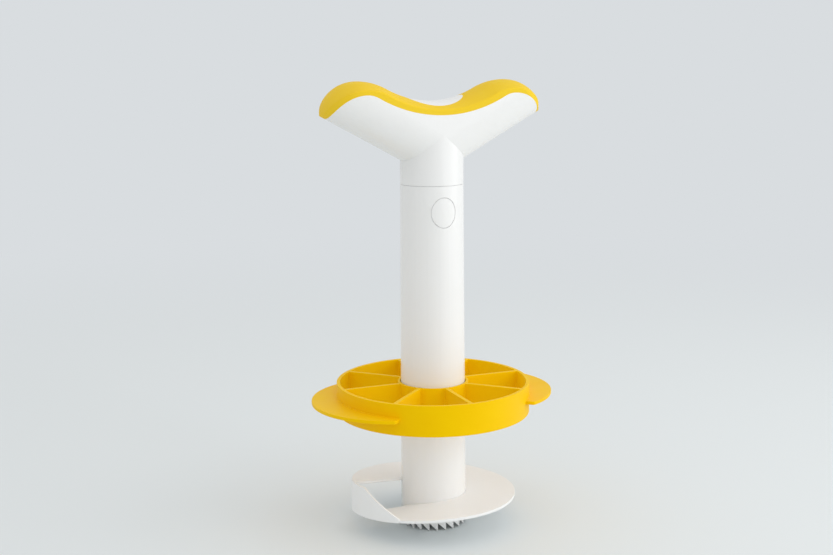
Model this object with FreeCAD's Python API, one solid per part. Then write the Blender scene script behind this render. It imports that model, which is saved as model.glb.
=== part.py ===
import FreeCAD, Part

import math
import os

# Pineapple slicer with a lift-off handle and a loose wedge cutter.
# Millimetres. The tube axis is Z, the tips of the core teeth stand on z = 0,
# the handle lies along X and the visible release button faces -Y.
# Blade angles are counted from -X through the front, anticlockwise from above.

Vector = FreeCAD.Vector
UP = Vector(0, 0, 1)
ORIGIN = Vector(0, 0, 0)

# Core tube
TUBE_BOTTOM_RADIUS = 17.7
TUBE_TOP_RADIUS = 16.7
TUBE_TOP_HEIGHT = 185.5
TUBE_WALL = 1.5
TOOTH_COUNT = 24
TOOTH_DEPTH = 4.0
TOOTH_TIP_LAND = 0.3

# Slicing blade: one turn of a screw with a flat middle
BLADE_RADIUS = 45.0
BLADE_THICKNESS = 1.5
BLADE_FLAT_HEIGHT = 17.0
BLADE_LEAD_DROP = 5.9
BLADE_END_RISE = 8.7
LEAD_RAMP_DEGREES = 105.0
END_RAMP_DEGREES = 164.0
BLADE_END_DEGREES = 354.0
BLADE_EDGE_BEVEL = 3.2
BLADE_EDGE_LAND = 0.2
RIM_KNIFE_WALL = 1.1
RIM_KNIFE_LEAD_DEGREES = -30.0
RIM_KNIFE_FOOT_DROP = 4.4
RIM_KNIFE_FULL_DEGREES = 13.0
RIM_KNIFE_TAIL_DEGREES = 44.0
RIM_KNIFE_PROUD = 0.4
RIM_KNIFE_CREST_RISE = 1.6
RIM_KNIFE_TAIL_STEP = 0.7
RIM_KNIFE_LAP_DEGREES = 1.0
RIM_KNIFE_BEVEL = 2.4
RAMP_STEP_DEGREES = 6.0

# Wedge cutter
WEDGER_BASE_HEIGHT = 62.8
WEDGER_WALL_HEIGHT = 16.3
WEDGER_WALL_RADIUS = 52.0
WEDGER_WALL = 1.9
WEDGER_HUB_WALL = 1.3
WEDGER_HUB_CLEARANCE = 0.15
WEDGE_BLADE_COUNT = 8
WEDGE_BLADE_TOP = 2.2
WEDGE_BLADE_EDGE = 0.6
WEDGE_BLADE_LIFT = 1.2
WING_REACH = 67.0
WING_ARC_RADIUS = 43.6
WING_HALF_DEGREES = 45.5
WING_TURN_DEGREES = 3.0
WING_THICKNESS = 1.8
WING_BELOW_TOP = 7.2
WING_CORNER_RADIUS = 1.3

# Handle
SHOULDER_GAP = 0.12
ARM_HALF_DEPTH = 16.7
ARM_HALF_HEIGHT = 20.0
ARM_RISE_DEGREES = 28.6
ARM_ROOT_HEIGHT = 3.3
HANDLE_HALF_LENGTH = 60.4
HANDLE_WALL = 2.6
TOP_VALLEY_ABOVE_SHOULDER = 43.2
TOP_VALLEY_RADIUS = 56.0
TOP_HUMP_RISE = 10.4
TOP_HUMP_OFFSET = 41.3
SEAT_VALLEY_DROP = 7.0
SEAT_VALLEY_RADIUS = 71.0
SEAT_HUMP_RISE = 10.7
SEAT_HUMP_OFFSET = 40.8
SEAT_END_INSET = 0.9
PAD_CROWN = 4.3
PAD_SIDE_THICKNESS = 1.8
PAD_TOP_THICKNESS = 2.8
PAD_EDGE_RADIUS = 1.0
PAD_CREASE_DEGREES = 20.0
COVER_LIP_DEPTH = 3.0
COVER_LIP_WALL = 1.6
COVER_LIP_CLEARANCE = 0.2
ISLAND_HALF_LENGTH = 17.0
ISLAND_HALF_WIDTH = 12.5

# Stem plug and its two release tongues
PLUG_DEPTH = 46.0
PLUG_SOCKET_DEPTH = 16.0
PLUG_WALL = 2.0
PLUG_TUBE_CLEARANCE = 0.2
PLUG_STEM_FIT = 0.05
PLUG_FLOOR = 2.0
BUTTON_BELOW_SHOULDER = 13.8
BUTTON_HALF_WIDTH = 6.65
BUTTON_HALF_HEIGHT = 7.8
BUTTON_GAP = 0.15
BUTTON_SINK = 0.05
TONGUE_HALF_WIDTH = 5.0
TONGUE_ROOT_BELOW_BUTTON = 25.7
TONGUE_TIP_ABOVE_BUTTON = 9.0
TONGUE_SLOT = 0.7

# Working values that follow from the sizes above
FULL_TURN = 360.0
HALF_TURN = FULL_TURN / 2
QUARTER_TURN = FULL_TURN / 4
UPRIGHT_COSINE = 0.99
FAR = 2.0 * (TUBE_TOP_HEIGHT + 2.0 * HANDLE_HALF_LENGTH)
SHOULDER_HEIGHT = TUBE_TOP_HEIGHT + SHOULDER_GAP
TUBE_DRAFT = (TUBE_BOTTOM_RADIUS - TUBE_TOP_RADIUS) / TUBE_TOP_HEIGHT
BUTTON_HEIGHT = TUBE_TOP_HEIGHT - BUTTON_BELOW_SHOULDER
WEDGER_TOP_HEIGHT = WEDGER_BASE_HEIGHT + WEDGER_WALL_HEIGHT
BLADE_TOP_HEIGHT = BLADE_FLAT_HEIGHT + BLADE_END_RISE
RIM_KNIFE_TOP_HEIGHT = BLADE_TOP_HEIGHT + RIM_KNIFE_CREST_RISE
TOP_VALLEY_HEIGHT = SHOULDER_HEIGHT + TOP_VALLEY_ABOVE_SHOULDER


def tube_radius(height):
    """Outer radius of the drafted core tube at one height."""
    return TUBE_BOTTOM_RADIUS - TUBE_DRAFT * height


def frustum(offset, low, high):
    """The tube's outer cone, moved out by offset, between two heights."""
    return Part.makeCone(
        tube_radius(low) + offset,
        tube_radius(high) + offset,
        high - low,
        Vector(0, 0, low),
    )


def cylinder(radius, low, high):
    """A cylinder on the tube axis between two heights."""
    return Part.makeCylinder(radius, high - low, Vector(0, 0, low))


def polygon_prism(points, direction):
    """A closed outline of points, extruded along a vector."""
    wire = Part.makePolygon(points + [points[0]])
    return Part.Face(wire).extrude(direction)


def turned(shape, degrees):
    """A copy turned about the tube axis."""
    copy = shape.copy()
    copy.rotate(ORIGIN, UP, degrees)
    return copy


def mirrored_x(shape):
    """A copy mirrored to the other side of the YZ plane."""
    return shape.mirror(ORIGIN, Vector(1, 0, 0))


def from_blade_angle(radius, degrees, height):
    """Point at a blade angle, which starts at -X and runs through the front."""
    turn = math.radians(HALF_TURN + degrees)
    return Vector(radius * math.cos(turn), radius * math.sin(turn), height)


# Core tube

def button_prism(gap, inner, outer):
    """Oval prism through the front wall, from an inner to an outer radius."""
    ellipse = Part.Ellipse(
        Vector(0, -outer, BUTTON_HEIGHT + BUTTON_HALF_HEIGHT + gap),
        Vector(BUTTON_HALF_WIDTH + gap, -outer, BUTTON_HEIGHT),
        Vector(0, -outer, BUTTON_HEIGHT),
    )
    face = Part.Face(Part.Wire(ellipse.toShape()))
    return face.extrude(Vector(0, outer - inner, 0))


def tooth_notch():
    """Cutter between two tooth tips: upright on one side, sloping on the other."""
    pitch = 2.0 * math.pi * TUBE_BOTTOM_RADIUS / TOOTH_COUNT
    reach = TUBE_BOTTOM_RADIUS + 2.0 * TUBE_WALL
    front = -reach
    depth = 4.0 * TUBE_WALL
    outline = [
        Vector(0, front, -TOOTH_DEPTH),
        Vector(0, front, TOOTH_DEPTH),
        Vector(pitch - TOOTH_TIP_LAND, front, 0),
        Vector(pitch - TOOTH_TIP_LAND, front, -TOOTH_DEPTH),
    ]
    return polygon_prism(outline, Vector(0, depth, 0))


def core_tube():
    """Drafted tube with a ring of saw teeth below and two button holes above."""
    outside = frustum(0, 0, TUBE_TOP_HEIGHT)
    inside = frustum(-TUBE_WALL, -TUBE_WALL, TUBE_TOP_HEIGHT + TUBE_WALL)
    tube = outside.cut(inside)
    step = FULL_TURN / TOOTH_COUNT
    notch = tooth_notch()
    notches = [turned(notch, step * index) for index in range(TOOTH_COUNT)]
    tube = tube.cut(notches)
    hole = button_prism(BUTTON_GAP, TUBE_TOP_RADIUS / 2, 2 * TUBE_TOP_RADIUS)
    return tube.cut([hole, turned(hole, HALF_TURN)])


# Slicing blade

def blade_top(degrees):
    """Height of the blade's upper surface at one blade angle."""
    rise_start = BLADE_END_DEGREES - END_RAMP_DEGREES
    if degrees < LEAD_RAMP_DEGREES:
        share = degrees / LEAD_RAMP_DEGREES
        drop = BLADE_LEAD_DROP * (1 - math.sin(math.pi / 2 * share))
        return BLADE_FLAT_HEIGHT - drop
    if degrees > rise_start:
        share = (degrees - rise_start) / END_RAMP_DEGREES
        rise = BLADE_END_RISE * (1 - math.cos(math.pi / 2 * share))
        return BLADE_FLAT_HEIGHT + rise
    return BLADE_FLAT_HEIGHT


def blade_root(degrees):
    """Height just above the blade's underside, run on ahead of its leading edge."""
    inside = BLADE_THICKNESS - BLADE_EDGE_LAND / 2
    if degrees >= 0:
        return blade_top(degrees) - inside
    return blade_top(0) - inside - RIM_KNIFE_FOOT_DROP * degrees / RIM_KNIFE_LEAD_DEGREES


def blade_middle_above(degrees):
    """Mid height of the blade's upper end, one turn on from the given angle."""
    return blade_top(degrees + FULL_TURN) - BLADE_THICKNESS / 2


def rim_knife_crest(degrees):
    """Height of the rim knife's upper edge, which climbs from the blade's end."""
    start = BLADE_END_DEGREES - FULL_TURN
    share = (degrees - start) / (RIM_KNIFE_FULL_DEGREES - start)
    return BLADE_TOP_HEIGHT + RIM_KNIFE_CREST_RISE * share


def rim_knife_slant(degrees):
    """Height of the rim knife's sloping tail, run on past its two ends."""
    span = RIM_KNIFE_TAIL_DEGREES - RIM_KNIFE_FULL_DEGREES
    share = (degrees - RIM_KNIFE_FULL_DEGREES) / span
    tail_top = blade_top(RIM_KNIFE_TAIL_DEGREES) + RIM_KNIFE_TAIL_STEP
    return RIM_KNIFE_TOP_HEIGHT - (RIM_KNIFE_TOP_HEIGHT - tail_top) * share


def spiral_band(inner, outer, start, end, low, high):
    """Solid between two radii, with its floor and roof heights given by angle."""
    count = max(2, math.ceil((end - start) / RAMP_STEP_DEGREES))
    angles = [start + (end - start) * index / count for index in range(count + 1)]

    def rail(radius, height):
        points = [from_blade_angle(radius, angle, height(angle)) for angle in angles]
        curve = Part.BSplineCurve()
        curve.interpolate(points)
        return curve.toShape()

    rails = [rail(inner, low), rail(outer, low), rail(outer, high), rail(inner, high)]
    faces = [
        Part.makeRuledSurface(rails[index], rails[(index + 1) % 4])
        for index in range(4)
    ]
    for angle in (start, end):
        corners = [
            from_blade_angle(inner, angle, low(angle)),
            from_blade_angle(outer, angle, low(angle)),
            from_blade_angle(outer, angle, high(angle)),
            from_blade_angle(inner, angle, high(angle)),
        ]
        faces.append(Part.Face(Part.makePolygon(corners + [corners[0]])))
    shell = Part.makeShell(faces)
    shell.sewShape()
    solid = Part.makeSolid(shell)
    if solid.Volume < 0:
        solid.reverse()
    return solid


def edge_bevel_cutter():
    """Wedge that grinds the blade's upper side down to its leading edge."""
    base = blade_top(0) - BLADE_THICKNESS + BLADE_EDGE_LAND
    rise = BLADE_THICKNESS - BLADE_EDGE_LAND
    slope = rise / BLADE_EDGE_BEVEL
    start = -2 * BLADE_RADIUS
    outline = [
        Vector(start, BLADE_EDGE_BEVEL, base - slope * BLADE_EDGE_BEVEL),
        Vector(start, -2 * BLADE_EDGE_BEVEL, base + 2 * rise),
        Vector(start, -2 * BLADE_EDGE_BEVEL, base + 4 * rise),
        Vector(start, BLADE_EDGE_BEVEL, base + 4 * rise),
    ]
    return polygon_prism(outline, Vector(-start, 0, 0))


def knife_bevel_cutter():
    """Wedge that grinds the rim knife's leading edge from the inside."""
    edge = BLADE_RADIUS - BLADE_EDGE_LAND
    inside = BLADE_RADIUS - 2 * RIM_KNIFE_WALL
    outline = [
        Vector(-edge, 0, 0),
        Vector(-inside, 0, 0),
        Vector(-inside, -2 * RIM_KNIFE_BEVEL, 0),
    ]
    cutter = polygon_prism(outline, Vector(0, 0, 2 * BLADE_TOP_HEIGHT))
    return turned(cutter, RIM_KNIFE_LEAD_DEGREES)


def rim_knife():
    """Upright knife at the rim, with a curved foot and a sloping tail."""
    inside = BLADE_RADIUS - RIM_KNIFE_WALL
    sweep = RIM_KNIFE_TAIL_DEGREES - RIM_KNIFE_LEAD_DEGREES
    tall = 2 * RIM_KNIFE_TOP_HEIGHT
    block = Part.makeCylinder(BLADE_RADIUS, tall, ORIGIN, UP, sweep)
    block = turned(block, HALF_TURN + RIM_KNIFE_LEAD_DEGREES)
    wall = block.cut(cylinder(inside, -RIM_KNIFE_WALL, 2 * tall))
    near = inside - 2 * RIM_KNIFE_WALL
    far = BLADE_RADIUS + 2 * RIM_KNIFE_WALL
    first = RIM_KNIFE_LEAD_DEGREES - RAMP_STEP_DEGREES
    last = RIM_KNIFE_TAIL_DEGREES + RAMP_STEP_DEGREES
    lap = BLADE_END_DEGREES - FULL_TURN - RIM_KNIFE_LAP_DEGREES
    full = RIM_KNIFE_FULL_DEGREES - RIM_KNIFE_LAP_DEGREES

    def ground(angle):
        return -tall

    def sky(angle):
        return 2 * tall

    below = spiral_band(near, far, first, last, ground, blade_root)
    under_end = spiral_band(near, far, first, lap, blade_middle_above, sky)
    crest = spiral_band(near, far, first, last, rim_knife_crest, sky)
    tail = spiral_band(near, far, full, last, rim_knife_slant, sky)
    return wall.cut(below).cut(under_end).cut(crest).cut(tail)


def slicing_blade():
    """Screw-shaped blade with a bevelled leading edge and a knife at its rim."""
    plate = spiral_band(
        TUBE_TOP_RADIUS / 2,
        BLADE_RADIUS + 2 * RIM_KNIFE_WALL,
        0,
        BLADE_END_DEGREES,
        lambda angle: blade_top(angle) - BLADE_THICKNESS,
        blade_top,
    )
    plate = plate.cut(edge_bevel_cutter())
    plate = plate.common(cylinder(BLADE_RADIUS - RIM_KNIFE_PROUD, 0, 2 * BLADE_TOP_HEIGHT))
    plate = plate.cut(frustum(0, -TUBE_WALL, 2 * BLADE_TOP_HEIGHT))
    knife = rim_knife().cut(knife_bevel_cutter())
    return plate.fuse(knife)


# Wedge cutter

def hub_bore_radius():
    """The hub clears the widest part of the tube that it slides over."""
    return tube_radius(BLADE_TOP_HEIGHT) + WEDGER_HUB_CLEARANCE


def wedge_blade():
    """One radial cutting wall, thick above and narrowed to an edge below."""
    low = WEDGER_BASE_HEIGHT + WEDGE_BLADE_LIFT
    start = hub_bore_radius() + WEDGER_HUB_WALL / 2
    end = WEDGER_WALL_RADIUS - WEDGER_WALL / 2
    outline = [
        Vector(start, -WEDGE_BLADE_TOP / 2, WEDGER_TOP_HEIGHT),
        Vector(start, WEDGE_BLADE_TOP / 2, WEDGER_TOP_HEIGHT),
        Vector(start, WEDGE_BLADE_EDGE / 2, low),
        Vector(start, -WEDGE_BLADE_EDGE / 2, low),
    ]
    return polygon_prism(outline, Vector(end - start, 0, 0))


def wing():
    """Flat finger wing outside the wall, near the +X side."""
    top = WEDGER_TOP_HEIGHT - WING_BELOW_TOP
    centre = Vector(WING_REACH - WING_ARC_RADIUS, 0, top - WING_THICKNESS)
    disc = Part.makeCylinder(WING_ARC_RADIUS, WING_THICKNESS, centre)
    far = 2 * WING_REACH
    half = math.radians(WING_HALF_DEGREES)
    sector = polygon_prism(
        [
            Vector(0, 0, 0),
            Vector(far * math.cos(half), -far * math.sin(half), 0),
            Vector(2 * far, 0, 0),
            Vector(far * math.cos(half), far * math.sin(half), 0),
        ],
        Vector(0, 0, 2 * WEDGER_TOP_HEIGHT),
    )
    plate = disc.common(sector)
    reach = WEDGER_WALL_RADIUS + WING_CORNER_RADIUS
    corners = [
        edge
        for edge in plate.Edges
        if abs(edge.tangentAt(edge.FirstParameter).z) > UPRIGHT_COSINE
        and math.hypot(edge.CenterOfMass.x, edge.CenterOfMass.y) > reach
        and abs(edge.CenterOfMass.y) > WING_CORNER_RADIUS
    ]
    if corners:
        plate = plate.makeFillet(WING_CORNER_RADIUS, corners)
    return turned(plate, WING_TURN_DEGREES)


def wedger():
    """Wheel of cutting walls between a hub and a ring, with two finger wings."""
    ring = cylinder(WEDGER_WALL_RADIUS, WEDGER_BASE_HEIGHT, WEDGER_TOP_HEIGHT)
    right_wing = wing()
    ring = ring.fuse([right_wing, turned(right_wing, HALF_TURN)])
    inside = WEDGER_WALL_RADIUS - WEDGER_WALL
    ring = ring.cut(cylinder(inside, 0, 2 * WEDGER_TOP_HEIGHT))
    hub_outside = hub_bore_radius() + WEDGER_HUB_WALL
    hub = cylinder(hub_outside, WEDGER_BASE_HEIGHT, WEDGER_TOP_HEIGHT)
    step = FULL_TURN / WEDGE_BLADE_COUNT
    blade = wedge_blade()
    blades = [turned(blade, step * index) for index in range(WEDGE_BLADE_COUNT)]
    wheel = ring.fuse([hub] + blades)
    wheel = wheel.cut(cylinder(hub_bore_radius(), 0, 2 * WEDGER_TOP_HEIGHT))
    return wheel.removeSplitter()


# Handle

def arc_point(centre_x, centre_z, radius, degrees):
    """Point on a circle in the XZ plane."""
    turn = math.radians(degrees)
    x = centre_x + radius * math.cos(turn)
    return Vector(x, 0, centre_z + radius * math.sin(turn))


def arc_between(centre_x, centre_z, radius, start, end):
    """Arc in the XZ plane between two angles in degrees."""
    angles = (start, (start + end) / 2, end)
    points = [arc_point(centre_x, centre_z, radius, angle) for angle in angles]
    return Part.Arc(*points).toShape()


def wave_line(valley_height, valley_radius, hump_rise, hump_offset, half_length):
    """Valley, two humps and two ends as five arcs that run into each other."""
    hump_height = valley_height + hump_rise
    valley_centre = valley_height + valley_radius
    lift = valley_centre - hump_height
    hump_radius = hump_offset**2 + lift**2 - valley_radius**2
    hump_radius = hump_radius / (2 * (valley_radius - lift))
    hump_centre = hump_height - hump_radius
    lean = math.degrees(math.atan2(valley_centre - hump_centre, hump_offset))
    end_radius = half_length - hump_offset
    end_centre = hump_height - end_radius
    return [
        arc_between(-hump_offset, end_centre, end_radius, HALF_TURN, QUARTER_TURN),
        arc_between(-hump_offset, hump_centre, hump_radius, QUARTER_TURN, lean),
        arc_between(0, valley_centre, valley_radius, HALF_TURN + lean, FULL_TURN - lean),
        arc_between(hump_offset, hump_centre, hump_radius, HALF_TURN - lean, QUARTER_TURN),
        arc_between(hump_offset, end_centre, end_radius, QUARTER_TURN, 0),
    ]


def top_line():
    """Ridge of the grip."""
    return wave_line(
        TOP_VALLEY_HEIGHT,
        TOP_VALLEY_RADIUS,
        TOP_HUMP_RISE,
        TOP_HUMP_OFFSET,
        HANDLE_HALF_LENGTH,
    )


def seat_line():
    """Line where the grip meets the white body."""
    return wave_line(
        TOP_VALLEY_HEIGHT - SEAT_VALLEY_DROP,
        SEAT_VALLEY_RADIUS,
        SEAT_HUMP_RISE,
        SEAT_HUMP_OFFSET,
        HANDLE_HALF_LENGTH - SEAT_END_INSET,
    )


def below_seat(drop):
    """Everything under the seat line, lowered by drop, as a block."""
    edges = seat_line()
    left = edges[0].Vertexes[0].Point
    right = edges[-1].Vertexes[-1].Point
    corners = [right, Vector(right.x, 0, 0), Vector(left.x, 0, 0), left]
    wire = Part.Wire(edges + Part.makePolygon(corners).Edges)
    block = Part.Face(wire).extrude(Vector(0, 2 * FAR, 0))
    block.translate(Vector(0, -FAR, -drop))
    return block


def plan_block(inset):
    """Upright block with the handle's outline from above, moved inwards."""
    half = ARM_HALF_DEPTH - inset
    centre = HANDLE_HALF_LENGTH - ARM_HALF_DEPTH
    box = Part.makeBox(2 * centre, 2 * half, FAR, Vector(-centre, -half, 0))
    ends = [
        Part.makeCylinder(half, FAR, Vector(side * centre, 0, 0))
        for side in (-1, 1)
    ]
    return box.fuse(ends)


def arm_block(inset):
    """Two rising arms with round undersides, moved inwards, without a top."""
    half_depth = ARM_HALF_DEPTH - inset
    half_height = ARM_HALF_HEIGHT - inset
    rise = math.radians(ARM_RISE_DEGREES)
    along = Vector(math.cos(rise), 0, math.sin(rise))
    across = Vector(-math.sin(rise), 0, math.cos(rise))
    root = Vector(0, 0, SHOULDER_HEIGHT + ARM_ROOT_HEIGHT)
    bottom = root + across * inset - along * ARM_HALF_HEIGHT
    centre = bottom + across * half_height
    major, minor = half_height, half_depth
    bow = Part.Ellipse(centre + across * major, centre + Vector(0, minor, 0), centre)
    if half_depth > half_height:
        bow = Part.Ellipse(centre + Vector(0, minor, 0), centre + across * major, centre)
    left = centre + Vector(0, -half_depth, 0)
    right = centre + Vector(0, half_depth, 0)
    tall = across * (2 * ARM_HALF_HEIGHT)
    tube = Part.Face(Part.Wire(bow.toShape())).extrude(along * FAR)
    walls = polygon_prism([left, right, right + tall, left + tall], along * FAR)
    arm = tube.fuse(walls)
    side = Part.makeBox(FAR, 2 * FAR, 2 * FAR, Vector(0, -FAR, 0))
    arm = arm.common(side)
    return arm.fuse(mirrored_x(arm))


def grip_sweep(inset, side_inset):
    """The grip's crowned section, moved inwards, carried along the ridge."""
    half = ARM_HALF_DEPTH - side_inset
    depth = SEAT_VALLEY_DROP + TOP_HUMP_RISE / 2
    pieces = []
    for edge in top_line():
        curve = edge.Curve
        start = edge.Vertexes[0].Point
        end = edge.Vertexes[-1].Point
        middle = edge.valueAt((edge.FirstParameter + edge.LastParameter) / 2)
        side = 1 if middle.z > curve.Center.z else -1
        normal = ((start - curve.Center) * side).normalize()
        ridge = start - normal * inset
        shoulder = ridge - normal * PAD_CROWN
        foot = start - normal * depth
        low_left = foot + Vector(0, -half, 0)
        high_left = shoulder + Vector(0, -half, 0)
        low_right = foot + Vector(0, half, 0)
        high_right = shoulder + Vector(0, half, 0)
        crown = Part.Arc(high_left, ridge, high_right).toShape()
        sides = Part.makePolygon([high_right, low_right, low_left, high_left])
        face = Part.Face(Part.Wire([crown] + sides.Edges))
        spoke_in = start - curve.Center
        spoke_out = end - curve.Center
        sweep = math.degrees(spoke_in.getAngle(spoke_out))
        axis = spoke_in.cross(spoke_out).normalize()
        pieces.append(face.revolve(curve.Center, axis, sweep))
    return pieces[0].fuse(pieces[1:])


def handle_body_block():
    """The whole handle below and above the seat line, without its crown."""
    stem = cylinder(TUBE_TOP_RADIUS, SHOULDER_HEIGHT, TOP_VALLEY_HEIGHT - SEAT_VALLEY_DROP)
    return arm_block(0).common(plan_block(0)).fuse(stem)


def shell_cavity(inset):
    """Hollow of the two arms, open at the seat line."""
    return arm_block(inset).common(plan_block(inset))


def stem_bore_radius():
    """Bore of the stem, which takes the plug."""
    return TUBE_TOP_RADIUS - HANDLE_WALL


def handle_shell():
    """White body: two hollow arms on a hollow stem, open at the top."""
    body = handle_body_block().common(below_seat(0))
    body = body.cut(shell_cavity(HANDLE_WALL))
    bore = cylinder(stem_bore_radius(), 0, TOP_VALLEY_HEIGHT)
    return body.cut(bore)


def normals_beside(shape, edge):
    """Outward normals, at an edge's middle, of the faces that share the edge."""
    middle = edge.valueAt((edge.FirstParameter + edge.LastParameter) / 2)
    return [
        face.normalAt(*face.Surface.parameter(middle))
        for face in shape.ancestorsOfType(edge, Part.Face)
    ]


def crown_rim(envelope):
    """Creases between the crown and the sides, without those of the seat."""
    crease = math.radians(PAD_CREASE_DEGREES)
    rim = []
    for edge in envelope.Edges:
        normals = normals_beside(envelope, edge)
        faces_down = min(normal.z for normal in normals) < -math.sin(crease)
        if normals[0].getAngle(normals[-1]) > crease and not faces_down:
            rim.append(edge)
    return rim


def grip_envelope():
    """Everything of the handle above the seat line, with a rounded rim."""
    envelope = grip_sweep(0, 0).common(plan_block(0)).common(arm_block(0))
    envelope = envelope.cut(below_seat(0)).removeSplitter()
    return envelope.makeFillet(PAD_EDGE_RADIUS, crown_rim(envelope))


def island_block():
    """Upright oval block of the bare island in the valley."""
    ellipse = Part.Ellipse(ORIGIN, ISLAND_HALF_LENGTH, ISLAND_HALF_WIDTH)
    return Part.Face(Part.Wire(ellipse.toShape())).extrude(Vector(0, 0, FAR))


def handle_cover(envelope):
    """White core under the grip, with the bare island and a locating lip."""
    core = grip_sweep(PAD_TOP_THICKNESS, PAD_SIDE_THICKNESS)
    core = core.common(plan_block(PAD_SIDE_THICKNESS)).common(envelope)
    island = envelope.common(island_block())
    lip_outside = HANDLE_WALL + COVER_LIP_CLEARANCE
    lip = shell_cavity(lip_outside).cut(shell_cavity(lip_outside + COVER_LIP_WALL))
    lip = lip.common(below_seat(0)).cut(below_seat(COVER_LIP_DEPTH))
    return core.fuse([island, lip])


def grip_pad(envelope, cover):
    """Soft pad over the cover, open around the island."""
    return envelope.cut(cover)


# Stem plug and release tongues

def plug_radius():
    """Outside of the plug's lower part, which slides in the tube."""
    return TUBE_TOP_RADIUS - TUBE_WALL - PLUG_TUBE_CLEARANCE


def tongue_block(slot):
    """Box on the front wall that holds the tongue, widened by slot."""
    root = BUTTON_HEIGHT - TONGUE_ROOT_BELOW_BUTTON
    tip = BUTTON_HEIGHT + TONGUE_TIP_ABOVE_BUTTON + slot
    half = TONGUE_HALF_WIDTH + slot
    return Part.makeBox(2 * half, plug_radius(), tip - root, Vector(-half, -plug_radius(), root))


def button_pocket(slot):
    """Room in the plug wall for the button's oval foot."""
    return button_prism(slot, stem_bore_radius() / 2, plug_radius())


def release_button():
    """Front spring tongue with its button, moulded in one piece."""
    root = BUTTON_HEIGHT - TONGUE_ROOT_BELOW_BUTTON
    tip = BUTTON_HEIGHT + TONGUE_TIP_ABOVE_BUTTON
    wall = cylinder(plug_radius(), root, tip)
    wall = wall.cut(cylinder(plug_radius() - PLUG_WALL, root, tip))
    foot = wall.common(button_pocket(0))
    tongue = wall.common(tongue_block(0))
    head = button_prism(0, plug_radius() / 2, 2 * TUBE_TOP_RADIUS)
    head = head.common(frustum(-BUTTON_SINK, 0, TUBE_TOP_HEIGHT))
    head = head.cut(cylinder(plug_radius() - PLUG_WALL, 0, TUBE_TOP_HEIGHT))
    return tongue.fuse([foot, head]).removeSplitter()


def stem_plug():
    """Plug fixed in the stem, with two slotted windows for the tongues."""
    low = SHOULDER_HEIGHT - PLUG_DEPTH
    high = SHOULDER_HEIGHT + PLUG_SOCKET_DEPTH
    upper = cylinder(stem_bore_radius() - PLUG_STEM_FIT, SHOULDER_HEIGHT, high)
    lower = cylinder(plug_radius(), low, SHOULDER_HEIGHT - SHOULDER_GAP / 2)
    neck = cylinder(stem_bore_radius() - PLUG_STEM_FIT, low, high)
    plug = lower.fuse([upper, neck])
    hollow = cylinder(stem_bore_radius() - PLUG_WALL, low + PLUG_FLOOR, high)
    wide = cylinder(plug_radius() - PLUG_WALL, low + PLUG_FLOOR, SHOULDER_HEIGHT - PLUG_FLOOR)
    plug = plug.cut([hollow, wide])
    window = tongue_block(TONGUE_SLOT).fuse(button_pocket(TONGUE_SLOT))
    return plug.cut([window, turned(window, HALF_TURN)])


def build_nodes():
    """Every named piece of the slicer."""
    envelope = grip_envelope()
    cover = handle_cover(envelope)
    button = release_button()
    return {
        "core_tube": core_tube(),
        "slicing_blade": slicing_blade(),
        "wedger": wedger(),
        "handle_shell": handle_shell(),
        "handle_cover": cover,
        "grip_pad": grip_pad(envelope, cover),
        "stem_plug": stem_plug(),
        "release_button_front": button,
        "release_button_back": turned(button, HALF_TURN),
    }


def main():
    """Write one STEP file per piece."""
    os.makedirs("parts", exist_ok=True)
    for name, shape in build_nodes().items():
        solids = shape.Solids
        print(f"{name}: {len(solids)} solid(s), volume {shape.Volume:.1f}, valid {shape.isValid()}")
        if len(solids) == 1:
            shape = solids[0]
        shape.exportStep(f"parts/{name}.step")


main()
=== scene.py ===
"""Looks of a pineapple slicer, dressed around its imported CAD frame."""

import logging
import math
from dataclasses import dataclass, field
from enum import Enum

import bmesh
import bpy
from mathutils import Matrix, Vector


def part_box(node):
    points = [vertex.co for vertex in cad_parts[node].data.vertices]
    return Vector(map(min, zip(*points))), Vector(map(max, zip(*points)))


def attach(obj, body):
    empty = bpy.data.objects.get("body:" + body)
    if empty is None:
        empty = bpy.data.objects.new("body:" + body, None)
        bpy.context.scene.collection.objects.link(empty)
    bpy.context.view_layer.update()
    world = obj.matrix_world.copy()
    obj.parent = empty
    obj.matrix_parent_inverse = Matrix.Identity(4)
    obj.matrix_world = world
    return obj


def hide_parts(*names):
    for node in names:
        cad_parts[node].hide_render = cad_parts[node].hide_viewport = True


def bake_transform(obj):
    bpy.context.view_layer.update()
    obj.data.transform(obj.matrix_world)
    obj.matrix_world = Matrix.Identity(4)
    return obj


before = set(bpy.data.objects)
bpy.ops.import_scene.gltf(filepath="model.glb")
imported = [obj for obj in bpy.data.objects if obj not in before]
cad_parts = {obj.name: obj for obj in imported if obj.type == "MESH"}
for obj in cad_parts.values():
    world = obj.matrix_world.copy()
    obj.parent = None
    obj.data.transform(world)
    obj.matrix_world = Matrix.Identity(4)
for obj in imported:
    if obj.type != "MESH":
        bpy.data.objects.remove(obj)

MM = 0.001
LOG = logging.getLogger("pineapple_slicer")

# The sRGB transfer curve: a straight foot below the knee, a power above it.
SRGB_KNEE = 0.04045
SRGB_FOOT_SLOPE = 12.92
SRGB_OFFSET = 0.055
SRGB_POWER = 2.4

# Nearly all values of a noise texture lie between these two.
NOISE_LOW = 0.3
NOISE_HIGH = 0.7

# CAD points closer than this are one point, and faces flatter than this one face.
MERGE_MM = 0.002
FLAT_DEGREES = 0.6

# An edge that is sharper than this is shaded as an edge.
CRISP_DEGREES = 38.0


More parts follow.
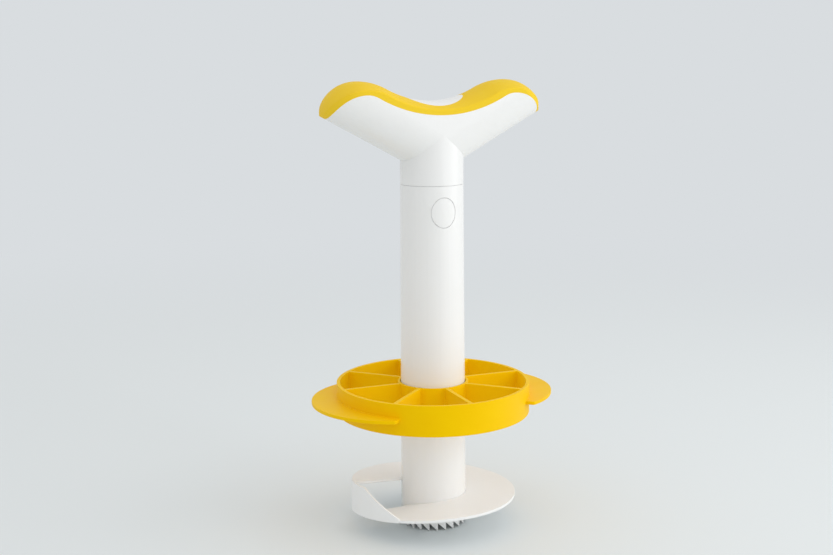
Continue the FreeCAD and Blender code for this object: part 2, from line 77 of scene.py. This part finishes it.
def linear_rgba(hex_colour: str) -> tuple[float, float, float, float]:
    """Turn an sRGB hex colour into Blender's linear colour.

    Args:
        hex_colour: Colour such as "#F2B705".

    Returns:
        Linear red, green and blue, with an alpha of one.
    """
    channels = [int(hex_colour[at:at + 2], 16) / 255 for at in (1, 3, 5)]
    red, green, blue = [
        value / SRGB_FOOT_SLOPE
        if value <= SRGB_KNEE
        else ((value + SRGB_OFFSET) / (1.0 + SRGB_OFFSET)) ** SRGB_POWER
        for value in channels
    ]
    return (red, green, blue, 1.0)


def per_metre(size_mm: float) -> float:
    """Noise scale that draws features of a size in millimetres."""
    return 1.0 / (size_mm * MM)


def add_node(
    tree: bpy.types.NodeTree,
    kind: str,
    settings: dict | None = None,
    links: dict | None = None,
) -> bpy.types.Node:
    """Add one shader node with its settings and incoming links.

    Args:
        tree: Node tree that takes the node.
        kind: Blender's name of the node type.
        settings: Input values by socket name or number, and node properties.
        links: Output sockets by the socket name or number that they feed.

    Returns:
        The new node.
    """
    node = tree.nodes.new(kind)
    for key, value in (settings or {}).items():
        if isinstance(key, int) or key in node.inputs:
            node.inputs[key].default_value = value
        else:
            setattr(node, key, value)
    for key, socket in (links or {}).items():
        tree.links.new(socket, node.inputs[key])
    return node


def new_material(name: str) -> tuple[bpy.types.Material, bpy.types.NodeTree]:
    """Make an empty node material.

    Args:
        name: The material's name.

    Returns:
        The material and its cleared node tree.
    """
    material = bpy.data.materials.new(name)
    material.use_nodes = True
    material.node_tree.nodes.clear()
    return material, material.node_tree


@dataclass(frozen=True)
class MouldedPlastic:
    """Injection-moulded plastic: even colour, fine mould grain, soft gloss.

    Its colour drifts a little towards the shade in clouds, as the melt has
    mixed, and its gloss drifts in smaller patches, as the melt has flowed.
    """

    name: str
    colour: str
    shade: str
    roughness: float
    roughness_spread: float
    grain_mm: float
    grain_depth_mm: float
    ior: float = 1.5
    gloss_tint: str = "#FFFFFF"
    cloud_mm: float = 26.0
    cloud_detail: float = 2.0
    shade_share: float = 0.5
    patches_per_cloud: float = 3.0
    grain_detail: float = 3.0

    def material(self) -> bpy.types.Material:
        """Build the node material.

        Returns:
            A material that reads Object coordinates.
        """
        material, tree = new_material(self.name)
        place = add_node(tree, "ShaderNodeTexCoord").outputs["Object"]
        clouds = add_node(
            tree,
            "ShaderNodeTexNoise",
            {"Scale": per_metre(self.cloud_mm), "Detail": self.cloud_detail},
            {"Vector": place},
        )
        share = add_node(
            tree,
            "ShaderNodeMapRange",
            {
                "From Min": NOISE_LOW,
                "From Max": NOISE_HIGH,
                "To Max": self.shade_share,
            },
            {"Value": clouds.outputs["Fac"]},
        )
        colour = add_node(
            tree,
            "ShaderNodeMix",
            {
                "data_type": "RGBA",
                6: linear_rgba(self.colour),
                7: linear_rgba(self.shade),
            },
            {0: share.outputs["Result"]},
        )
        patch_mm = self.cloud_mm / self.patches_per_cloud
        patches = add_node(
            tree,
            "ShaderNodeTexNoise",
            {"Scale": per_metre(patch_mm), "Detail": self.grain_detail},
            {"Vector": place},
        )
        roughness = add_node(
            tree,
            "ShaderNodeMapRange",
            {
                "From Min": NOISE_LOW,
                "From Max": NOISE_HIGH,
                "To Min": self.roughness - self.roughness_spread,
                "To Max": self.roughness + self.roughness_spread,
            },
            {"Value": patches.outputs["Fac"]},
        )
        grain = add_node(
            tree,
            "ShaderNodeTexNoise",
            {"Scale": per_metre(self.grain_mm), "Detail": self.grain_detail},
            {"Vector": place},
        )
        bump = add_node(
            tree,
            "ShaderNodeBump",
            {"Strength": 1.0, "Distance": self.grain_depth_mm * MM},
            {"Height": grain.outputs["Fac"]},
        )
        surface = add_node(
            tree,
            "ShaderNodeBsdfPrincipled",
            {
                "IOR": self.ior,
                "Specular Tint": linear_rgba(self.gloss_tint),
            },
            {
                "Base Color": colour.outputs[2],
                "Roughness": roughness.outputs["Result"],
                "Normal": bump.outputs["Normal"],
            },
        )
        add_node(
            tree,
            "ShaderNodeOutputMaterial",
            links={"Surface": surface.outputs["BSDF"]},
        )
        return material


class Finish(Enum):
    """The finishes of the slicer's mouldings."""

    # White ABS from a polished mould: nearly even colour, a soft broad gloss.
    WHITE_ABS = MouldedPlastic(
        name="moulded white ABS",
        colour="#F1F1F0",
        shade="#EFEFED",
        roughness=0.24,
        roughness_spread=0.02,
        grain_mm=0.7,
        grain_depth_mm=0.002,
    )
    # White ABS of the blade, a little duller, with painted light: a whiter, cooler
    # white than the other mouldings, which lifts its top out of the wedge wheel's
    # shade and yellow bounce.
    PAINTED_LIGHTER_BLADE_ABS = MouldedPlastic(
        name="white ABS painted lighter",
        colour="#F4F5F5",
        shade="#F1F2F2",
        roughness=0.34,
        roughness_spread=0.02,
        grain_mm=0.5,
        grain_depth_mm=0.001,
    )
    # Yellow ABS from a matted mould: a deep colour that stays deep under a
    # weak satin gloss, because the gloss is tinted and its index is low.
    YELLOW_ABS = MouldedPlastic(
        name="moulded yellow ABS",
        colour="#F9CA02",
        shade="#F6BF01",
        roughness=0.52,
        roughness_spread=0.03,
        grain_mm=0.7,
        grain_depth_mm=0.002,
        ior=1.38,
        gloss_tint="#F6FF48",
    )
    # Yellow thermoplastic rubber: paler and dull, with the fine grain of a
    # spark-eroded mould, drawn a little coarser than it is so that it shows.
    YELLOW_GRIP = MouldedPlastic(
        name="textured yellow TPE",
        colour="#F3CE34",
        shade="#F0C21C",
        roughness=0.64,
        roughness_spread=0.05,
        grain_mm=0.45,
        grain_depth_mm=0.008,
        ior=1.36,
        gloss_tint="#FBFF80",
    )


FINISHES = {finish: finish.value.material() for finish in Finish}


@dataclass(frozen=True)
class EdgeRounding:
    """How the sharp edges of a moulding are rounded."""

    radius_mm: float
    segments: int = 2
    sharp_degrees: float = 30.0


def dress(piece: bpy.types.Object, finish: Finish, node: str) -> None:
    """Give a piece its finish and the node that it stands for.

    Args:
        piece: The finished piece; all but the button tongues already ride on their
            bodies.
        finish: Finish of its surface.
        node: CAD node that it replaces.
    """
    piece.data.materials.clear()
    piece.data.materials.append(FINISHES[finish])
    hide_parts(node)
    LOG.info("%s: %d faces for %s", piece.name, len(piece.data.polygons), node)


def finish_node(node: str, finish: Finish) -> None:
    """Give a CAD node whose shape and shading are right its finish.

    Args:
        node: Name of the CAD node.
        finish: Finish of its surface.
    """
    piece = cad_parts[node]
    for place in piece.material_slots:
        place.link = "OBJECT"
        place.material = FINISHES[finish]
    LOG.info("%s: %d faces as built", node, len(piece.data.polygons))


def merged_copy(node: str) -> bmesh.types.BMesh:
    """Copy a CAD node's mesh and merge its loose triangles.

    Args:
        node: Name of the CAD node.

    Returns:
        A closed mesh with flat areas joined into single faces.
    """
    mesh = bmesh.new()
    mesh.from_mesh(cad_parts[node].data)
    bmesh.ops.remove_doubles(mesh, verts=mesh.verts, dist=MERGE_MM * MM)
    bmesh.ops.dissolve_limit(
        mesh,
        angle_limit=math.radians(FLAT_DEGREES),
        use_dissolve_boundaries=False,
        verts=mesh.verts,
        edges=mesh.edges,
        delimit=set(),
    )
    return mesh


def round_edges(mesh: bmesh.types.BMesh, rounding: EdgeRounding) -> None:
    """Round the sharp edges of a closed mesh.

    Args:
        mesh: The mesh to change.
        rounding: Radius, segments and the angle that counts as sharp.
    """
    limit = math.radians(rounding.sharp_degrees)
    sharp = [edge for edge in mesh.edges if edge.calc_face_angle(0.0) > limit]
    bmesh.ops.bevel(
        mesh,
        geom=sharp,
        offset=rounding.radius_mm * MM,
        offset_type="OFFSET",
        segments=rounding.segments,
        profile=0.5,
        affect="EDGES",
        clamp_overlap=False,
        material=-1,
    )


def to_object(mesh: bmesh.types.BMesh, name: str) -> bpy.types.Object:
    """Turn a bmesh into a smooth-shaded object at the origin.

    Args:
        mesh: The finished bmesh, which is freed.
        name: The object's name.

    Returns:
        The linked object.
    """
    data = bpy.data.meshes.new(name)
    mesh.to_mesh(data)
    mesh.free()
    data.shade_smooth()
    data.set_sharp_from_angle(angle=math.radians(CRISP_DEGREES))
    piece = bpy.data.objects.new(name, data)
    bpy.context.scene.collection.objects.link(piece)
    return piece


def weigh_normals(piece: bpy.types.Object) -> None:
    """Keep large faces flat beside their small roundings."""
    modifier = piece.modifiers.new("even shading", "WEIGHTED_NORMAL")
    modifier.keep_sharp = True


def moulding(
    node: str, name: str, rounding: EdgeRounding, rings: tuple[float, ...] = ()
) -> bpy.types.Object:
    """Make a moulding with rounded edges from a CAD node.

    Args:
        node: CAD node that gives the shape.
        name: Name of the new piece.
        rounding: How its edges are rounded.
        rings: Heights in metres at which its faces are divided, so that it can
            bend there.

    Returns:
        The new piece.
    """
    mesh = merged_copy(node)
    round_edges(mesh, rounding)
    for height in rings:
        bmesh.ops.bisect_plane(
            mesh,
            geom=[*mesh.verts, *mesh.edges, *mesh.faces],
            plane_co=(0.0, 0.0, height),
            plane_no=(0.0, 0.0, 1.0),
        )
    piece = to_object(mesh, name)
    weigh_normals(piece)
    return piece


@dataclass
class Core:
    """Core tube with its spiral blade."""

    tube_edge: EdgeRounding = EdgeRounding(0.1)
    blade_edge: EdgeRounding = EdgeRounding(0.2)

    def build(self) -> None:
        """Build and dress the tube and the blade."""
        tube = moulding("core_tube", "toothed_tube", self.tube_edge)
        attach(tube, "core")
        dress(tube, Finish.WHITE_ABS, "core_tube")
        blade = moulding("slicing_blade", "spiral_blade", self.blade_edge)
        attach(blade, "core")
        # Painted light: the blade's white is lighter and cooler than the tube's,
        # standing in for light under the wedge wheel.
        dress(blade, Finish.PAINTED_LIGHTER_BLADE_ABS, "slicing_blade")


@dataclass
class WedgeCutter:
    """Wheel of eight cutting walls with two finger wings."""

    edge: EdgeRounding = EdgeRounding(0.22)

    def build(self) -> None:
        """Build and dress the wheel."""
        wheel = moulding("wedger", "wedge_wheel", self.edge)
        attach(wheel, "wedge_cutter")
        dress(wheel, Finish.YELLOW_ABS, "wedger")


@dataclass
class Handle:
    """White handle body with its core and its soft yellow grip."""

    finishes: dict[str, Finish] = field(
        default_factory=lambda: {
            "handle_shell": Finish.WHITE_ABS,
            "handle_cover": Finish.WHITE_ABS,
            "grip_pad": Finish.YELLOW_GRIP,
        }
    )

    def build(self) -> None:
        """Dress the body, the core and the grip, whose roundings are built in."""
        for node, finish in self.finishes.items():
            finish_node(node, finish)


@dataclass
class StemLatch:
    """Plug in the stem with its two release buttons on spring tongues."""

    plug_edge: EdgeRounding = EdgeRounding(0.25)
    button_edge: EdgeRounding = EdgeRounding(0.15)
    bend_mm: float = 12.0
    bend_rings: int = 6
    buttons: dict[str, str] = field(
        default_factory=lambda: {
            "release_button_front": "front_button",
            "release_button_back": "back_button",
        }
    )

    def tongue(self, node: str, body: str) -> None:
        """Build one button, its faces divided in rings above the root of its tongue,
        which stays in the plug.

        Args:
            node: CAD node of the button and its tongue.
            body: Body that follows the button; the piece takes its name from it.
        """
        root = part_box(node)[0][2]
        bend = self.bend_mm * MM
        step = bend / self.bend_rings
        rings = tuple(root + step * ring for ring in range(1, self.bend_rings + 1))
        button = moulding(node, f"{body}_tongue", self.button_edge, rings)
        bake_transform(button)
        dress(button, Finish.WHITE_ABS, node)

    def build(self) -> None:
        """Build and dress the plug and both buttons."""
        plug = moulding("stem_plug", "tube_plug", self.plug_edge)
        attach(plug, "handle")
        dress(plug, Finish.WHITE_ABS, "stem_plug")
        for node, body in self.buttons.items():
            self.tongue(node, body)


def seen_share(tree: bpy.types.NodeTree) -> bpy.types.NodeSocket:
    """Tell the rays that show the backdrop from those that light the object.

    Args:
        tree: Node tree that takes the nodes.

    Returns:
        Output that is one for camera, glossy and transmission rays.
    """
    rays = add_node(tree, "ShaderNodeLightPath").outputs
    seen = rays["Is Camera Ray"]
    for kind in ("Is Glossy Ray", "Is Transmission Ray"):
        either = {"operation": "MAXIMUM"}
        node = add_node(tree, "ShaderNodeMath", either, {0: seen, 1: rays[kind]})
        seen = node.outputs["Value"]
    return seen


@dataclass(frozen=True)
class Lamp:
    """A soft box aimed at the slicer, with its places and sizes in metres."""

    name: str
    place: tuple[float, float, float]
    width_m: float
    height_m: float
    radiance: float
    aim: tuple[float, float, float] = (0.0, 0.0, 0.12)

    def build(self) -> None:
        """Put the lamp in the scene."""
        data = bpy.data.lights.new(self.name, "AREA")
        data.shape = "RECTANGLE"
        data.size = self.width_m
        data.size_y = self.height_m
        data.energy = self.radiance * math.pi * self.width_m * self.height_m
        lamp = bpy.data.objects.new(self.name, data)
        towards = Vector(self.aim) - Vector(self.place)
        lamp.rotation_euler = towards.to_track_quat("-Z", "Y").to_euler()
        lamp.location = self.place
        bpy.context.scene.collection.objects.link(lamp)


@dataclass
class Studio:
    """Pale floor, plain backdrop, soft lamps and the camera.

    Lengths are in metres and angles in degrees, apart from the camera's lens,
    which is in millimetres as on its barrel.
    """

    floor_radius: float = 4.0
    floor_segments: int = 96
    floor_colour: str = "#E4E9EA"
    floor_roughness: float = 0.7
    backdrop_colour: str = "#D9DDE0"
    ambient: float = 0.79
    fade_start: float = 0.25
    fade_end: float = 1.1
    camera_place: tuple[float, float, float] = (-0.25060, -0.60571, 0.25196)
    camera_azimuth: float = -21.74
    camera_pitch: float = 10.09
    camera_roll: float = -0.45
    camera_lens: float = 53.96
    lamps: tuple[Lamp, ...] = (
        Lamp("soft box on the right", (1.12, -0.62, 0.35), 1.0, 1.3, 1.43),
        Lamp("strip in front", (0.39, -0.755, 0.42), 0.27, 0.9, 1.15),
        Lamp("soft box overhead", (0.1, -0.3, 1.4), 1.0, 1.0, 0.45),
    )

    def world(self) -> None:
        """Light the scene evenly and show a pale backdrop to the camera."""
        world = bpy.data.worlds.new("studio")
        bpy.context.scene.world = world
        world.use_nodes = True
        tree = world.node_tree
        tree.nodes.clear()
        even = add_node(
            tree,
            "ShaderNodeBackground",
            {"Color": linear_rgba("#FFFFFF"), "Strength": self.ambient},
        )
        seen = add_node(
            tree,
            "ShaderNodeBackground",
            {"Color": linear_rgba(self.backdrop_colour), "Strength": 1.0},
        )
        mix = add_node(
            tree,
            "ShaderNodeMixShader",
            links={
                0: seen_share(tree),
                1: even.outputs["Background"],
                2: seen.outputs["Background"],
            },
        )
        add_node(
            tree, "ShaderNodeOutputWorld", links={"Surface": mix.outputs["Shader"]}
        )

    def floor_material(self) -> bpy.types.Material:
        """Pale matt floor that fades into the backdrop with distance.

        Returns:
            The floor's material.
        """
        material, tree = new_material("studio floor")
        place = add_node(tree, "ShaderNodeTexCoord").outputs["Object"]
        away = add_node(
            tree, "ShaderNodeVectorMath", {"operation": "LENGTH"}, {0: place}
        )
        fade = add_node(
            tree,
            "ShaderNodeMapRange",
            {
                "interpolation_type": "SMOOTHSTEP",
                "From Min": self.fade_start,
                "From Max": self.fade_end,
            },
            {"Value": away.outputs["Value"]},
        )
        share = add_node(
            tree,
            "ShaderNodeMath",
            {"operation": "MULTIPLY"},
            {0: fade.outputs["Result"], 1: seen_share(tree)},
        )
        matt = add_node(
            tree,
            "ShaderNodeBsdfPrincipled",
            {
                "Base Color": linear_rgba(self.floor_colour),
                "Roughness": self.floor_roughness,
            },
        )
        glow = add_node(
            tree,
            "ShaderNodeEmission",
            {"Color": linear_rgba(self.backdrop_colour), "Strength": 1.0},
        )
        mix = add_node(
            tree,
            "ShaderNodeMixShader",
            links={
                0: share.outputs["Value"],
                1: matt.outputs["BSDF"],
                2: glow.outputs["Emission"],
            },
        )
        add_node(
            tree, "ShaderNodeOutputMaterial", links={"Surface": mix.outputs["Shader"]}
        )
        return material

    def floor(self) -> None:
        """Lay a large round floor under the teeth."""
        mesh = bmesh.new()
        bmesh.ops.create_circle(
            mesh,
            cap_ends=True,
            radius=self.floor_radius,
            segments=self.floor_segments,
        )
        floor = to_object(mesh, "floor")
        floor.data.materials.append(self.floor_material())

    def camera(self) -> None:
        """Stand the camera where the photograph was taken."""
        data = bpy.data.cameras.new("photo camera")
        data.lens = self.camera_lens
        camera = bpy.data.objects.new("photo camera", data)
        turn = Matrix.Rotation(math.radians(self.camera_azimuth), 4, "Z")
        tilt = Matrix.Rotation(math.radians(90.0 - self.camera_pitch), 4, "X")
        roll = Matrix.Rotation(math.radians(self.camera_roll), 4, "Z")
        camera.matrix_world = (
            Matrix.Translation(self.camera_place) @ turn @ tilt @ roll
        )
        bpy.context.scene.collection.objects.link(camera)
        bpy.context.scene.camera = camera

    def build(self) -> None:
        """Build the whole studio."""
        self.world()
        self.floor()
        for lamp in self.lamps:
            lamp.build()
        self.camera()
        bpy.context.scene.view_settings.view_transform = "Standard"


def main() -> None:
    """Build every sub-assembly, then the studio."""
    logging.basicConfig(level=logging.INFO, format="%(name)s: %(message)s")
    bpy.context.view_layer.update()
    for assembly in (Core(), WedgeCutter(), Handle(), StemLatch()):
        assembly.build()
    Studio().build()


if __name__ == "__main__":
    main()
